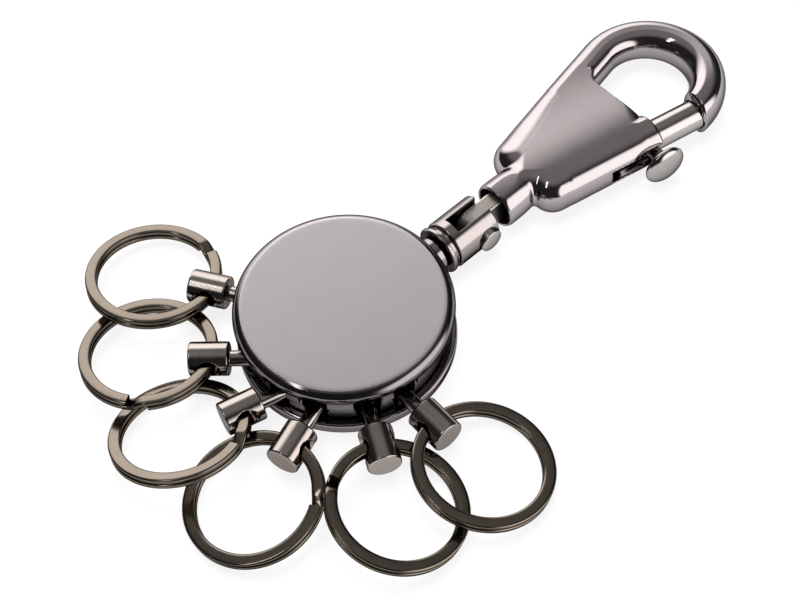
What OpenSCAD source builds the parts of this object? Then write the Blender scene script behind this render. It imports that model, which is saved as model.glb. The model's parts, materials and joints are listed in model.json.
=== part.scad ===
// Belt key clip: a sprung bolt hook on a hinged swivel neck, and a flat disc whose edge holds six
// pull-out pins, each with a split key ring in its cross hole.
// Millimetres. The origin is on the disc's axis at its underside, +X runs to the hook, +Z to the cover.

/* [Disc] */
// Diameter of the cover cap
cap_d = 38; // [36:0.5:42]
// Height of the cap from its lip to its face
cap_h = 2.3; // [2.1:0.1:2.8]
// Radius of the cap's rounded edge
cap_edge_r = 1.9; // [1.2:0.1:2]
// How far the cap's lip is drawn in under its rim
cap_lip_inset = 0.4; // [0.3:0.05:0.6]
// How far the cap stands out past the notched skirt
cap_overhang = 0.5; // [0.3:0.1:0.7]
// Visible height of the notched skirt
skirt_h = 2.55; // [2.5:0.05:3]
// Wall of the notched skirt
skirt_wall = 1; // [0.8:0.1:1.2]
// Width of each notch in the skirt
notch_w = 4.7; // [4.6:0.1:5]
// Height of the open gap between the skirt and the lower plate
stem_gap = 4.25; // [4.1:0.05:4.35]
// Diameter of the lower plate
plate_d = 38.2; // [36.5:0.1:42]
// Height of the lower plate's rim
plate_rim_h = 2.4; // [2.3:0.05:2.5]
// Thickness of the lower plate's floor
plate_floor_t = 0.8; // [0.6:0.05:0.8]
// How far the lower plate presses up to free the pins
press_travel = 2; // [1.8:0.05:2]
// Wall of the keeper ring behind the skirt
keeper_wall = 0.9; // [0.7:0.1:1]
// Width of the keeper ring's narrow slots
keeper_slot_w = 4.15; // [4.05:0.05:4.2]
// Diameter of the centre rivet
rivet_d = 4; // [3.5:0.1:4.5]
// Diameter of the rivet's head
rivet_head_d = 6.4; // [6:0.1:7]

/* [Plate spring] */
// Wire of the plate spring
plate_spring_wire = 0.8; // [0.6:0.05:0.9]
// Number of curls of the plate spring
plate_spring_curls = 4; // [3:1:4]

/* [Pins] */
// Diameter of a pin's stem
stem_d = 2.75; // [2.6:0.05:2.85]
// Diameter of a pin's inner head
head_d = 4.4; // [4.3:0.02:4.44]
// Thickness of a pin's inner head
head_t = 1.2; // [1:0.1:1.5]
// Diameter of a pin's barrel
barrel_d = 5.9; // [5.7:0.1:6]
// Length of a pin's barrel
barrel_l = 6.9; // [6.6:0.1:7.2]
// Bevel on the barrel's edges
barrel_bevel = 0.35; // [0.2:0.05:0.5]
// Diameter of the hole across the barrel
cross_hole_d = 3.5; // [3.45:0.05:3.7]
// Countersink round the cross hole
cross_hole_bevel = 0.35; // [0.3:0.05:0.5]
// Reach from the slot to the cross hole on a pin drawn fully out
pin_reach = 7.8; // [7.6:0.1:8.2]
// How far a pin slides in and out in its slot
pin_play = 0.9; // [0.6:0.1:1]

/* [Key rings] */
// Outer diameter of a split ring
ring_d = 24; // [23.6:0.1:24.4]
// Width of the ring's wire, measured along its radius
ring_wire_w = 2.1; // [1.9:0.05:2.15]
// Thickness of the ring's wire, two turns of which make the ring
ring_wire_t = 1.05; // [0.9:0.05:1.1]
// Bevel on the wire's edges
ring_bevel = 0.3; // [0.2:0.05:0.4]
// Length of the slanting stretch where the wire changes turn
ring_cross_l = 3.2; // [2.8:0.1:4]

/* [Clevis] */
// Diameter of the clevis, which the boss and the hook's collar are in line with
neck_d = 9.2; // [9:0.1:9.3]
// Diameter of the boss on the disc that the clevis turns on
boss_d = 6.6; // [6.4:0.1:7]
// How far the boss stands out from the lower plate
boss_out = 2.1; // [1.5:0.1:3]
// Length of the clevis
clevis_l = 11; // [10.8:0.1:12]
// Length of the flange at the clevis's inner end
clevis_flange_l = 0.9; // [0.8:0.1:1]
// Length of the groove behind that flange
clevis_groove_l = 0.9; // [0.6:0.1:1]
// Diameter at the bottom of that groove
clevis_groove_d = 7.6; // [7.4:0.1:8]
// Depth of the clevis's slot
clevis_slot_depth = 7.3; // [7.2:0.1:7.5]
// Width of the clevis's slot
clevis_slot_w = 3.5; // [3.4:0.1:3.6]
// Distance from the clevis's open end to its pin
hinge_setback = 2.5; // [2.4:0.1:2.6]
// Diameter of the clevis pin
clevis_pin_d = 2.2; // [2:0.1:2.4]
// Diameter of the clevis pin's flat head
clevis_pin_head_d = 4.5; // [4.2:0.1:4.6]
// Height of the clevis pin's head over the clevis
clevis_pin_head_h = 0.9; // [0.7:0.1:1.2]
// Diameter of the stud's shank
stud_d = 3; // [2.8:0.1:3.4]
// Diameter of the stud's peened ends
stud_head_d = 5.2; // [5:0.1:5.4]

/* [Tongue] */
// Thickness of the flat tongue
tongue_t = 3.1; // [2.9:0.1:3.2]
// Height of the flat tongue
tongue_h = 5.6; // [5:0.1:6]
// Diameter of the tongue's round shank
shank_d = 3.6; // [3.2:0.1:4]
// Diameter of the shank's peened head
shank_head_d = 6; // [5.4:0.1:6.2]

/* [Hook] */
// Distance from the clevis pin to the hook's neck
neck_gap = 5.5; // [5.4:0.1:6.2]
// Diameter of the neck's round collar
collar_d = 8.8; // [8.6:0.1:9.2]
// Length of the neck's round collar
collar_l = 3.8; // [3.4:0.1:4.2]
// Distance from the neck's end to the middle of the shoulders
shoulder_x = 10.5; // [10.3:0.1:11.2]
// Distance from the neck's end to the middle of the round head
head_x = 40.8; // [40.4:0.2:45]
// Sideways place of the round head's middle
head_y = 0.6; // [0:0.1:1]
// Radius of the round head's bar, at its middle
head_r = 11; // [10.8:0.1:12]
// Width of the round head's bar
bar_w = 6.8; // [6.4:0.1:7]
// Thickness of the hook's flat body
body_t = 8.4; // [8.2:0.1:8.6]
// Angle between the hook's sides and its middle line
side_angle = 11.5; // [11:0.1:12]
// Rounding of the hook's left side
side_round = 5; // [4.6:0.1:5.2]
// Distance from the neck's end to the web's front edge
web_front_x = 31.9; // [31.4:0.1:32.2]

/* [Bolt] */
// Diameter of the sliding bolt
bolt_d = 5.7; // [5.4:0.1:5.9]
// Diameter of the tube that the bolt slides in
tube_d = 8.8; // [8.6:0.1:9]
// Distance from the neck's end to the tube's front end
tube_front_x = 32.6; // [32.2:0.1:33.2]
// Sideways distance of the bolt from the middle line at the tube's front end
bolt_y = 8.7; // [8.5:0.1:9]
// How far the bolt draws back
bolt_travel = 8.2; // [7.8:0.1:8.4]
// Depth of the socket in the hook's nose
socket_depth = 1.1; // [0.8:0.1:1.4]
// Gap that the bolt closes, from the tube to the nose
mouth_w = 8.3; // [8:0.1:8.6]
// Diameter of the knob's stem
knob_stem_d = 3; // [2.8:0.1:3.2]
// Diameter of the knob
knob_d = 8; // [7.5:0.1:8.5]
// Thickness of the knob
knob_t = 2.3; // [2:0.1:2.8]
// Distance from the bolt's axis to the knob's inner face
knob_out = 5.9; // [5.5:0.1:6.3]
// Distance from the tube's front end back to the knob
knob_back = 2.6; // [2.4:0.1:3]
// Wire of the bolt spring
bolt_spring_wire = 0.6; // [0.4:0.05:0.7]
// Number of curls of the bolt spring
bolt_spring_curls = 6; // [5:1:7]

/* [Fits] */
// Radial clearance of a turning or sliding fit
run_gap = 0.05; // [0.03:0.01:0.1]
// Clearance between pieces that pass each other
pass_gap = 0.1; // [0.08:0.01:0.15]
// Clearance between the ends of pieces that turn on each other
end_gap = 0.3; // [0.2:0.05:0.4]

/* [Hidden] */
$fn = 48;
over = 1; // overrun of every cut

// Pins, one value each: where the slot is, where the pin points and how far it is pushed in
pin_angles = [119, 160, 189, 212, 241, 262.5];
pin_headings = [121.5, 137, 165.5, 199.5, 242.5, 268.5];
pin_push_shares = [0.25, 1, 0.9, 0, 0.1, 0.05];

// Rings, one value each: heading, dip away from the disc, roll about the heading, place of the wire's ends
ring_headings = [120, 129, 157.9, 192, 243.7, 275.5];
ring_dips = [0.5, 1.5, 0, 7.5, 2.5, 6];
ring_rolls = [9.5, 9, 17.2, 7.8, -15.4, -10];
ring_turns = [-127, 95, 143, 119, -116, 180];

// Levels of the disc, from the underside up
skirt_z = plate_rim_h + stem_gap;
skirt_top_z = skirt_z + skirt_h;
disc_h = skirt_top_z + cap_h;
crown_step = 0.3;
ceiling_z = skirt_top_z + crown_step;
crown_t = 0.8;
crown_z = ceiling_z + crown_t;
notch_lip = 0.25;
notch_top_z = skirt_top_z - notch_lip;
floor_clear = 0.05;
axis_z = neck_d / 2 + floor_clear;

// Radii of the disc
cap_r = cap_d / 2;
skirt_r = cap_r - cap_overhang;
slot_r = skirt_r - skirt_wall;
keeper_r = slot_r - keeper_wall;
crown_r = slot_r + crown_step;
plate_r = plate_d / 2;
plate_well_r = slot_r + pass_gap;
keeper_z = plate_floor_t + press_travel + pass_gap;
window_z = axis_z + press_travel - head_d / 2 - run_gap;

// Plate hub and rivet
hub_wall = 1;
rivet_seat_d = rivet_head_d + 4 * pass_gap;
hub_r = rivet_seat_d / 2 + hub_wall;
rivet_head_t = 1.2;
hub_h = plate_rim_h;
plate_spring_gap = 0.35;
plate_spring_r = hub_r + plate_spring_gap + plate_spring_wire / 2;

// Pins and rings
head_set_back = 1.9; // from the slot in to the head's outer face, on a pin drawn fully out
stem_round = 0.3;
ring_r = (ring_d - ring_wire_w) / 2;
barrel_sag = ring_r - sqrt(ring_r * ring_r - barrel_d * barrel_d / 4);
ring_set_in = barrel_sag / 2; // keeps the curved ring in the middle of the straight hole

// Places along the hook's axis
boss_end_x = plate_r + boss_out;
clevis_x = boss_end_x + end_gap;
clevis_end_x = clevis_x + clevis_l;
slot_floor_x = clevis_end_x - clevis_slot_depth;
hinge_x = clevis_end_x - hinge_setback;
neck_x = hinge_x + neck_gap;
neck_edge = 0.6;

// Flat seat under the clevis pin's head
pin_seat_y = sqrt(neck_d * neck_d - clevis_pin_head_d * clevis_pin_head_d) / 2;
pin_dome_h = 0.25;

// Stud between the disc and the clevis
stud_head_t = 1.2;
stud_in_x = sqrt(keeper_r * keeper_r - stud_head_d * stud_head_d / 4);
clevis_web = 1.1; // wall of the clevis that the stud's head holds
stud_cavity_x = clevis_x + clevis_web;
stud_cavity_l = stud_head_t + 2 * end_gap;

// Swivel shank in the neck
neck_well_d = 7.6;
neck_well_l = 3;
shank_x = neck_x + neck_well_l - 2 * end_gap;
neck_web = 2.4; // wall of the neck that the shank's head holds
shank_head_t = 1.8;
shank_cavity_x = neck_x + neck_well_l + neck_web;
shank_cavity_l = shank_head_t + 2 * end_gap;

// Hook body, in its own frame from the neck's end
collar_waist = 0.5;
head_outer_r = head_r + bar_w / 2;
head_inner_r = head_r - bar_w / 2;
shoulder_y = head_y + head_outer_r / cos(side_angle) - (head_x - shoulder_x) * tan(side_angle);
web_end_share = 0.5; // of the left side's rounding, how far the web runs on past its front edge
web_end_x = web_front_x + web_end_share * side_round;
eye_corner_y = 7; // sideways place of the eye's left corner, before its bevel
eye_corner_bevel = 1.8;
eye_corner_lead = 3;

// Bolt, in a frame at the tube's front end with +X towards the nose
bolt_angle = -side_angle;
tube_l = (tube_front_x - shoulder_x) / cos(side_angle);
tube_edge = 0.8;
bolt_back = 9.5; // from the tube's front end back to the bolt's rear end
spring_seat = 1;
bore_back = bolt_back + bolt_travel + bolt_spring_wire * bolt_spring_curls + spring_seat;
bolt_spring_r = bolt_d / 2 - bolt_spring_wire;
bolt_tip = mouth_w + socket_depth - end_gap;
tip_bevel = 0.4;
knob_x = -knob_back;
knob_slot_w = knob_stem_d + 4 * run_gap;
knob_entry_d = knob_stem_d + 4 * end_gap;

// A ring of points on an arc
function arc(cx, cy, r, a0, a1, steps) = [
    for (i = [0:steps]) [cx + r * cos(a0 + (a1 - a0) * i / steps), cy + r * sin(a0 + (a1 - a0) * i / steps)]
];

// The outline of an ellipse with half-widths a and b
function ellipse(a, b, steps) = [
    for (i = [0:steps - 1]) [a * cos(360 * i / steps), b * sin(360 * i / steps)]
];

function along(heading) = [cos(heading), sin(heading), 0];
function pivot(i) = slot_r * along(pin_angles[i]) + [0, 0, axis_z];
function push(i) = pin_play * pin_push_shares[i];
function hole_x(i) = pin_reach - push(i);

// A coil's centre line: flat end curls, evenly wound between them
function coil_point(r, z0, z1, curls, t) = [
    r * cos(360 * curls * t), r * sin(360 * curls * t), z0 + (z1 - z0) * t
];

// The least clear distance between turns of a coil, measured on its points half a turn apart or more
function coil_gap(r, z0, z1, curls, wire) = let (
    rounds = 8 * curls,
    line = [for (i = [0:rounds]) coil_point(r, z0 + wire / 2, z1 - wire / 2, curls, i / rounds)]
) min([for (i = [0:rounds], j = [i + 4:1:rounds]) norm(line[j] - line[i])]) - wire;

// The points of one round of a wire that runs sideways round the Z axis
function wire_round(p, a, wire_r, sides) = [
    for (j = [0:sides - 1]) p + wire_r * [
        cos(360 * j / sides) * cos(a), cos(360 * j / sides) * sin(a), sin(360 * j / sides)
    ]
];

// One unbroken tube wound round the Z axis
module coil(r, z0, z1, curls, wire) {
    rounds = 8 * curls;
    sides = 6;
    points = [
        for (i = [0:rounds]) each wire_round(
            coil_point(r, z0 + wire / 2, z1 - wire / 2, curls, i / rounds),
            360 * curls * i / rounds, wire / 2, sides
        )
    ];
    skin = [
        for (i = [0:rounds - 1], j = [0:sides - 1]) each let (k = (j + 1) % sides) [
            [i * sides + j, (i + 1) * sides + j, (i + 1) * sides + k],
            [i * sides + j, (i + 1) * sides + k, i * sides + k]
        ]
    ];
    ends = [
        for (j = [1:sides - 2]) each [
            [0, j, j + 1],
            [rounds * sides, rounds * sides + j + 1, rounds * sides + j]
        ]
    ];
    polyhedron(points, concat(skin, ends));
}

// A round piece along the X axis from x0 to x1
module rod(x0, x1, d) {
    translate([x0, 0, 0])
        rotate([0, 90, 0])
            cylinder(d = d, h = x1 - x0);
}

// A profile given as [x, radius] points, turned about the X axis
module turned_x(profile) {
    rotate([0, 90, 0])
        rotate_extrude()
            polygon([for (p = profile) [p[1], p[0]]]);
}

module at_axis() {
    translate([0, 0, axis_z])
        children();
}

module at_pin(i) {
    translate(pivot(i))
        rotate([0, 0, pin_headings[i]])
            children();
}

module at_ring(i) {
    translate(pivot(i) + hole_x(i) * along(pin_headings[i]))
        rotate([ring_rolls[i], 0, ring_headings[i]])
            rotate([0, ring_dips[i], 0])
                translate([ring_r - ring_set_in, 0, 0])
                    children();
}

// Disc

module cover_cap() {
    rim_r = cap_r - cap_edge_r;
    lip_r = cap_r - cap_lip_inset;
    color("dimgray")
        rotate_extrude()
            polygon(concat(
                [[0, crown_z], [crown_r, crown_z], [crown_r, skirt_top_z], [lip_r, skirt_top_z]],
                [[cap_r, skirt_top_z + cap_lip_inset]],
                arc(rim_r, disc_h - cap_edge_r, cap_edge_r, 0, 90, 6),
                [[0, disc_h]]
            ));
}

module notch_cutter(width, z0, z1, r0, r1) {
    translate([r0, -width / 2, z0])
        cube([r1 - r0, width, z1 - z0]);
}

module notched_housing() {
    color("dimgray")
        difference() {
            union() {
                rotate_extrude()
                    polygon([
                        [0, ceiling_z], [slot_r, ceiling_z], [slot_r, skirt_z], [skirt_r, skirt_z],
                        [skirt_r, skirt_top_z], [crown_r, skirt_top_z], [crown_r, crown_z], [0, crown_z]
                    ]);
                intersection() {
                    at_axis()
                        rod(0, boss_end_x, boss_d);
                    cylinder(r = boss_end_x + over, h = skirt_top_z);
                }
            }
            translate([0, 0, -over])
                cylinder(r = slot_r, h = ceiling_z + over);
            translate([0, 0, crown_z - crown_t])
                cylinder(d = rivet_d, h = crown_t + over);
            at_axis()
                rod(0, boss_end_x + over, stud_d);
            for (a = pin_angles)
                rotate([0, 0, a])
                    notch_cutter(notch_w, skirt_z - over, notch_top_z, slot_r - over, skirt_r + over);
        }
}

module keeper_ring() {
    in_r = keeper_r - over;
    out_r = slot_r + over;
    color("darkgray")
        difference() {
            translate([0, 0, keeper_z])
                cylinder(r = slot_r, h = ceiling_z - keeper_z);
            translate([0, 0, keeper_z - over])
                cylinder(r = keeper_r, h = ceiling_z - keeper_z + 2 * over);
            at_axis()
                rod(0, slot_r + over, stud_d);
            for (a = pin_angles)
                rotate([0, 0, a]) {
                    notch_cutter(keeper_slot_w, keeper_z - over, window_z + over, in_r, out_r);
                    notch_cutter(notch_w, window_z, notch_top_z, in_r, out_r);
                }
        }
}

module centre_rivet() {
    color("silver") {
        cylinder(d = rivet_head_d, h = rivet_head_t);
        cylinder(d = rivet_d, h = crown_z);
    }
}

module plate_spring() {
    color("lightgray")
        coil(plate_spring_r, plate_floor_t, ceiling_z, plate_spring_curls, plate_spring_wire);
}

module release_plate() {
    foot_edge = 0.5;
    rim_edge = 0.3;
    boss_slot_w = boss_d + 2 * pass_gap;
    boss_slot_x = stud_in_x - stud_head_t - end_gap;
    color("dimgray")
        difference() {
            union() {
                rotate_extrude()
                    polygon(concat(
                        [[0, 0]],
                        arc(plate_r - foot_edge, foot_edge, foot_edge, -90, 0, 4),
                        arc(plate_r - rim_edge, plate_rim_h - rim_edge, rim_edge, 0, 90, 4),
                        [[plate_well_r, plate_rim_h], [plate_well_r, plate_floor_t], [0, plate_floor_t]]
                    ));
                cylinder(r = hub_r, h = hub_h);
            }
            translate([0, 0, -over])
                cylinder(d = rivet_seat_d, h = rivet_head_t + over);
            translate([0, 0, -over])
                cylinder(d = rivet_d + 2 * run_gap, h = hub_h + 2 * over);
            notch_cutter(boss_slot_w, -over, hub_h + over, boss_slot_x, plate_r + over);
        }
}

// Pins and rings

module pin(i) {
    face_x = -head_set_back - push(i);
    hole = hole_x(i);
    x0 = hole - barrel_l / 2;
    x1 = hole + barrel_l / 2;
    color("darkkhaki")
        at_pin(i)
            difference() {
                turned_x([
                    [face_x - head_t, 0], [face_x - head_t, head_d / 2 - stem_round],
                    [face_x - head_t + stem_round, head_d / 2], [face_x, head_d / 2], [face_x, stem_d / 2],
                    [x0, stem_d / 2], [x0, barrel_d / 2 - barrel_bevel], [x0 + barrel_bevel, barrel_d / 2],
                    [x1 - barrel_bevel, barrel_d / 2], [x1, barrel_d / 2 - barrel_bevel], [x1, 0]
                ]);
                translate([hole, 0, 0])
                    rotate([ring_rolls[i], 0, 0])
                        cross_hole();
            }
}

module cross_hole() {
    rotate([90, 0, 0])
        cylinder(d = cross_hole_d, h = barrel_d + over, center = true);
    for (side = [-90, 90])
        rotate([side, 0, 0])
            translate([0, 0, barrel_d / 2 - cross_hole_bevel])
                cylinder(
                    d1 = cross_hole_d, d2 = cross_hole_d + 2 * (cross_hole_bevel + over),
                    h = cross_hole_bevel + over
                );
}

// A split ring: two turns of bevelled wire, with the slanting stretch that joins them at +X
module split_ring() {
    inner = ring_r - ring_wire_w / 2;
    outer = ring_r + ring_wire_w / 2;
    half = ring_cross_l / 2;
    difference() {
        rotate_extrude()
            for (z0 = [-ring_wire_t, 0])
                polygon([
                    [inner + ring_bevel, z0], [outer - ring_bevel, z0],
                    [outer, z0 + ring_bevel], [outer, z0 + ring_wire_t - ring_bevel],
                    [outer - ring_bevel, z0 + ring_wire_t], [inner + ring_bevel, z0 + ring_wire_t],
                    [inner, z0 + ring_wire_t - ring_bevel], [inner, z0 + ring_bevel]
                ]);
        for (turn = [0, 180])
            rotate([turn, 0, 0])
                translate([inner - over, 0, 0])
                    rotate([90, 0, 90])
                        linear_extrude(height = ring_wire_w + 2 * over)
                            polygon([
                                [-half, 0], [half, ring_wire_t], [half, ring_wire_t + over],
                                [-half, ring_wire_t + over]
                            ]);
    }
}

module key_ring(i) {
    color("tan")
        at_ring(i)
            rotate([0, 0, ring_turns[i]])
                split_ring();
}

// Clevis and tongue

module hook_stud() {
    color("silver")
        at_axis() {
            rod(stud_in_x - stud_head_t, stud_in_x, stud_head_d);
            rod(stud_in_x - stud_head_t, stud_cavity_x + end_gap + stud_head_t, stud_d);
            rod(stud_cavity_x + end_gap, stud_cavity_x + end_gap + stud_head_t, stud_head_d);
        }
}

module clevis() {
    edge = 0.3;
    end_edge = 0.25;
    groove_x = clevis_x + clevis_flange_l;
    groove_end_x = groove_x + clevis_groove_l;
    color("gray")
        at_axis()
            difference() {
                turned_x([
                    [clevis_x, 0], [clevis_x, neck_d / 2 - edge], [clevis_x + edge, neck_d / 2],
                    [groove_x, neck_d / 2], [groove_x, clevis_groove_d / 2],
                    [groove_end_x, clevis_groove_d / 2], [groove_end_x, neck_d / 2 - edge],
                    [groove_end_x + edge, neck_d / 2], [clevis_end_x - end_edge, neck_d / 2],
                    [clevis_end_x, neck_d / 2 - end_edge], [clevis_end_x, 0]
                ]);
                rod(clevis_x - over, stud_cavity_x + over, stud_d + 2 * run_gap);
                rod(stud_cavity_x, stud_cavity_x + stud_cavity_l, stud_head_d + 2 * end_gap);
                translate([slot_floor_x, -clevis_slot_w / 2, -neck_d / 2 - over])
                    cube([clevis_slot_depth + over, clevis_slot_w, neck_d + 2 * over]);
                translate([hinge_x, 0, 0])
                    rotate([90, 0, 0]) {
                        cylinder(d = clevis_pin_d, h = neck_d + 2 * over, center = true);
                        translate([0, 0, pin_seat_y])
                            cylinder(d = clevis_pin_head_d, h = neck_d);
                    }
            }
}

module clevis_pin() {
    side = sqrt(neck_d * neck_d - clevis_pin_d * clevis_pin_d) / 2;
    head_y = neck_d / 2 + clevis_pin_head_h;
    dome_r = (clevis_pin_head_d * clevis_pin_head_d / 4 + pin_dome_h * pin_dome_h) / (2 * pin_dome_h);
    dome_angle = asin(clevis_pin_head_d / 2 / dome_r);
    color("white")
        translate([hinge_x, 0, axis_z])
            rotate([90, 0, 0]) {
                translate([0, 0, -side])
                    cylinder(d = clevis_pin_d, h = side + neck_d / 2);
                rotate_extrude()
                    polygon(concat(
                        [[0, pin_seat_y], [clevis_pin_head_d / 2, pin_seat_y]],
                        arc(0, head_y - dome_r, dome_r, 90 - dome_angle, 90, 5)
                    ));
            }
}

module tongue() {
    color("gray")
        at_axis() {
            difference() {
                union() {
                    translate([hinge_x, 0, 0])
                        rotate([90, 0, 0])
                            cylinder(d = tongue_h, h = tongue_t, center = true);
                    translate([hinge_x, -tongue_t / 2, -tongue_h / 2])
                        cube([shank_x - hinge_x, tongue_t, tongue_h]);
                }
                translate([hinge_x, 0, 0])
                    rotate([90, 0, 0])
                        cylinder(d = clevis_pin_d + 2 * run_gap, h = tongue_t + over, center = true);
            }
            rod(shank_x, shank_cavity_x + end_gap + shank_head_t, shank_d);
            rod(shank_cavity_x + end_gap, shank_cavity_x + end_gap + shank_head_t, shank_head_d);
        }
}

// Hook

module at_hook() {
    translate([neck_x, 0, axis_z])
        children();
}

module at_bolt() {
    at_hook()
        translate([tube_front_x, -bolt_y, 0])
            rotate([0, 0, bolt_angle])
                children();
}

module soft_edge(x, y, r) {
    translate([x, y, 0])
        scale([r, r, body_t / 2])
            sphere(r = 1, $fn = 32);
}

// The flat casting between the hook's sides
module web() {
    edge_y = side_round / cos(side_angle);
    hull() {
        soft_edge(shoulder_x, shoulder_y - edge_y, side_round);
        soft_edge(web_end_x, shoulder_y - edge_y + (web_end_x - shoulder_x) * tan(side_angle), side_round);
        soft_edge(shoulder_x, -bolt_y + tube_l * sin(side_angle), tube_d / 2);
        soft_edge(tube_front_x - side_round, -bolt_y + side_round * tan(side_angle), tube_d / 2);
    }
}

module hook_bar() {
    translate([head_x, head_y, 0])
        rotate([0, 0, -90 - side_angle])
            rotate_extrude(angle = 180 + 2 * side_angle)
                translate([head_r, 0])
                    polygon(ellipse(bar_w / 2, body_t / 2, 24));
    start_l = (head_x - shoulder_x) / cos(side_angle) - side_round;
    translate([head_x, head_y, 0])
        rotate([0, 0, side_angle])
            translate([0, head_r, 0])
                rotate([0, -90, 0])
                    linear_extrude(height = start_l)
                        polygon(ellipse(body_t / 2, bar_w / 2, 24));
}

module neck() {
    turned_x([
        [0, 0], [0, collar_d / 2 - neck_edge], [neck_edge, collar_d / 2],
        [collar_l - neck_edge, collar_d / 2], [collar_l, collar_d / 2 - neck_edge],
        [collar_l + collar_waist, collar_d / 2 - neck_edge],
        [shoulder_x, collar_d / 2 - collar_waist], [shoulder_x, 0]
    ]);
}

module bolt_tube() {
    intersection() {
        turned_x([
            [-tube_l, 0], [-tube_l, tube_d / 2], [-tube_edge, tube_d / 2],
            [0, tube_d / 2 - tube_edge], [0, 0]
        ]);
        cube([2 * tube_l + over, tube_d + over, body_t], center = true);
    }
}

// The open eye: the inside of the round head, drawn back to the web's straight front
module eye() {
    linear_extrude(height = body_t + 2 * over, center = true) {
        translate([head_x, head_y])
            circle(r = head_inner_r);
        polygon([
            [web_front_x, eye_corner_y],
            [web_front_x + eye_corner_lead, eye_corner_y + eye_corner_bevel / 2],
            [head_x, head_y + head_inner_r], [head_x, head_y - head_inner_r],
            [tube_front_x, -bolt_y + tube_d / 2], [web_front_x, -bolt_y + tube_d / 2]
        ]);
    }
}

module mouth() {
    translate([0, -head_outer_r, -body_t / 2 - over])
        cube([mouth_w, 2 * head_outer_r - tube_d / 2, body_t + 2 * over]);
}

module knob_slot() {
    rotate([90, 0, 0]) {
        hull()
            for (x = [knob_x, knob_x - bolt_travel])
                translate([x, 0, 0])
                    cylinder(d = knob_slot_w, h = tube_d, $fn = 32);
        translate([knob_x, 0, 0])
            cylinder(d = knob_entry_d, h = tube_d);
    }
}

module hook_body() {
    cavity_l = neck_well_l + neck_web;
    color("slategray")
        difference() {
            union() {
                at_hook() {
                    difference() {
                        union() {
                            web();
                            hook_bar();
                        }
                        eye();
                    }
                    neck();
                }
                at_bolt()
                    bolt_tube();
            }
            at_hook() {
                rod(-over, neck_well_l, neck_well_d);
                rod(0, cavity_l + over, shank_d + 2 * run_gap);
                rod(cavity_l, cavity_l + shank_cavity_l, shank_head_d + 2 * run_gap);
            }
            at_bolt() {
                mouth();
                rod(-bore_back, mouth_w + socket_depth, bolt_d + 2 * run_gap);
                knob_slot();
            }
        }
}

module spring_bolt() {
    color("silver")
        at_bolt()
            difference() {
                turned_x([
                    [-bolt_back, 0], [-bolt_back, bolt_d / 2], [bolt_tip - tip_bevel, bolt_d / 2],
                    [bolt_tip, bolt_d / 2 - tip_bevel], [bolt_tip, 0]
                ]);
                translate([knob_x, 0, 0])
                    rotate([90, 0, 0])
                        cylinder(d = knob_stem_d, h = bolt_d);
            }
}

module bolt_knob() {
    edge = 0.6;
    dome = 0.7;
    color("gainsboro")
        at_bolt()
            translate([knob_x, 0, 0])
                rotate([90, 0, 0]) {
                    cylinder(d = knob_stem_d, h = knob_out + over);
                    translate([0, 0, knob_out])
                        rotate_extrude()
                            polygon([
                                [0, 0], [knob_d / 2 - edge, 0], [knob_d / 2, edge],
                                [knob_d / 2, knob_t - dome - edge], [knob_d / 2 - edge, knob_t - dome],
                                [knob_d / 4, knob_t - dome / 4], [0, knob_t]
                            ]);
                }
}

module bolt_spring() {
    color("lightgray")
        at_bolt()
            rotate([0, -90, 0])
                coil(bolt_spring_r, bolt_back, bore_back, bolt_spring_curls, bolt_spring_wire);
}

echo(plate_spring_least_gap = coil_gap(
    plate_spring_r, plate_floor_t, ceiling_z, plate_spring_curls, plate_spring_wire
));
echo(bolt_spring_least_gap = coil_gap(
    bolt_spring_r, bolt_back, bore_back, bolt_spring_curls, bolt_spring_wire
));

cover_cap();
notched_housing();
keeper_ring();
centre_rivet();
plate_spring();
release_plate();
pin(0);  // pin_1
pin(1);  // pin_2
pin(2);  // pin_3
pin(3);  // pin_4
pin(4);  // pin_5
pin(5);  // pin_6
key_ring(0);  // ring_1
key_ring(1);  // ring_2
key_ring(2);  // ring_3
key_ring(3);  // ring_4
key_ring(4);  // ring_5
key_ring(5);  // ring_6
hook_stud();
clevis();
clevis_pin();
tongue();
hook_body();
spring_bolt();
bolt_knob();
bolt_spring();
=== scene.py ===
import bpy
import bmesh
import openvdb
import numpy as np
from math import radians, sin, cos, tan, pi, sqrt
from mathutils import Matrix, Vector
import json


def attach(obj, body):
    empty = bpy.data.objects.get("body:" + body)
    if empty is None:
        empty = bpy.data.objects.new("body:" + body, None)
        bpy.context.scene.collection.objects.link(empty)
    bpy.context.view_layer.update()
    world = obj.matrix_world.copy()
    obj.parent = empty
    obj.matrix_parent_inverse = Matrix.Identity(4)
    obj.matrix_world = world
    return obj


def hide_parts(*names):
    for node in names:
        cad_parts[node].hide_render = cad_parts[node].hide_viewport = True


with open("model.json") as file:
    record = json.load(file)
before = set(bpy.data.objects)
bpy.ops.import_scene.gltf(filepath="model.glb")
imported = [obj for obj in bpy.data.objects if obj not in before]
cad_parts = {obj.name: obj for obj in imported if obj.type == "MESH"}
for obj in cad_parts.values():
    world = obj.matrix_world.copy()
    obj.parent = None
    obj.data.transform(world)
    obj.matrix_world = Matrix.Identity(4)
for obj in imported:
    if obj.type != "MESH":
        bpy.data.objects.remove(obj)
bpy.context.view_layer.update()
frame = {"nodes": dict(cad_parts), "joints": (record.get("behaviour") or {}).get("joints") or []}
mm = 0.001
print("frame loaded")

# The camera stands as in the photograph
camera = {
    "lens": 74.25,
    "place": (-88.484, -126.531, 242.589),  # mm
    "right": (0.73813, -0.67320, -0.04439),
    "up": (0.58012, 0.59972, 0.55118),
}


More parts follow.
